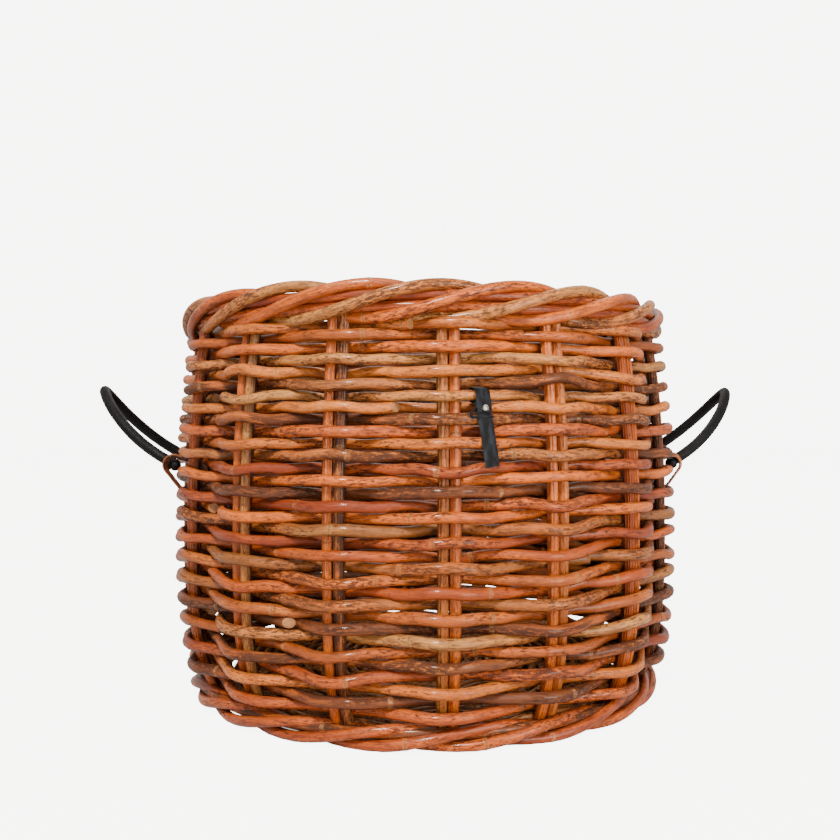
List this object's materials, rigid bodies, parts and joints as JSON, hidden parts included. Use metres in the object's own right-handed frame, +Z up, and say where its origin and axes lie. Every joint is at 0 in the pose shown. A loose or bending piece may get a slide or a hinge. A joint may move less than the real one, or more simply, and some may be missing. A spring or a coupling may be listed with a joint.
{
  "type": "wicker log basket",
  "caption": "Round open log basket woven from whole rattan cane over paired stakes, with a rope rim, hinged black bail handles and a small leather tag.",
  "frame": {"origin": "on the floor, at the middle of the foot", "axes": "+Z up, +X through the right handle, -Y the front, where the tag hangs"},
  "size_m": [0.7978, 0.6154, 0.4609],
  "materials": {
    "cane_orange": "whole rattan, clear lacquer, orange",
    "cane_amber": "whole rattan, clear lacquer, amber",
    "cane_tan": "whole rattan, clear lacquer, tan",
    "cane_red_brown": "whole rattan, clear lacquer, red brown",
    "cane_bark": "whole rattan with mottled dark bark, matt",
    "split_cane": "split rattan peel, satin",
    "handle_leather": "black, fine grain, satin",
    "strap_leather": "black, satin, cut edges",
    "rivet_metal": "polished nickel"
  },
  "bodies": {
    "basket": {"base_mat": "cane_tan", "cane_eye_left_a": "split_cane", "cane_eye_left_b": "split_cane", "cane_eye_right_a": "split_cane", "cane_eye_right_b": "split_cane", "foot_rope": "cane_red_brown", "rim_cane_1": "cane_orange", "rim_cane_2": "cane_tan", "stake_pair_01": "cane_orange", "stake_pair_02": "cane_tan", "stake_pair_03": "cane_amber", "stake_pair_04": "cane_bark", "stake_pair_05": "cane_red_brown", "stake_pair_06": "cane_orange", "stake_pair_07": "cane_tan", "stake_pair_08": "cane_amber", "stake_pair_09": "cane_bark", "stake_pair_10": "cane_red_brown", "stake_pair_11": "cane_orange", "stake_pair_12": "cane_tan", "stake_pair_13": "cane_amber", "stake_pair_14": "cane_bark", "stake_pair_15": "cane_red_brown", "stake_pair_16": "cane_orange", "weave_row_01": "cane_red_brown", "weave_row_02": "cane_bark", "weave_row_03": "cane_amber", "weave_row_04": "cane_red_brown", "weave_row_05": "cane_bark", "weave_row_06": "cane_amber", "weave_row_07": "cane_tan", "weave_row_08": "cane_bark", "weave_row_09": "cane_amber", "weave_row_10": "cane_tan", "weave_row_11": "cane_orange", "weave_row_12": "cane_amber", "weave_row_13": "cane_tan", "weave_row_14": "cane_orange", "weave_row_15": "cane_red_brown", "weave_row_16": "cane_tan", "weave_row_17": "cane_orange", "weave_row_18": "cane_red_brown", "weave_row_19": "cane_bark", "weave_row_20": "cane_orange", "weave_row_21": "cane_red_brown", "weave_row_22": "cane_bark", "weave_row_23": "cane_amber", "weave_row_24": "cane_red_brown", "weave_row_25": "cane_bark", "weave_row_26": "cane_amber", "weave_row_27": "cane_tan", "weave_row_28": "cane_bark", "weave_row_29": "cane_amber", "weave_row_30": "cane_tan", "weave_row_31": "cane_orange", "weave_row_32": "cane_amber"},
    "handle_left": {"handle_left": "handle_leather"},
    "handle_right": {"handle_right": "handle_leather"},
    "tag": {"tag_rivet": "rivet_metal", "tag_strap": "strap_leather"}
  },
  "joints": [
    {"name": "handle_right_hinge", "type": "hinge", "parent": "basket", "child": "handle_right", "pos_m": [0.2948, 0, 0.2705], "axis": [0, -1, 0], "range_deg": [-115, 42]},
    {"name": "handle_left_hinge", "type": "hinge", "parent": "basket", "child": "handle_left", "pos_m": [-0.2948, 0, 0.2705], "axis": [0, 1, 0], "range_deg": [-115, 42]},
    {"name": "tag_hinge", "type": "hinge", "parent": "basket", "child": "tag", "pos_m": [0.02875, -0.28836, 0.3474], "axis": [-0.887, -0.4618, 0], "range_deg": [0, 125]}
  ]
}
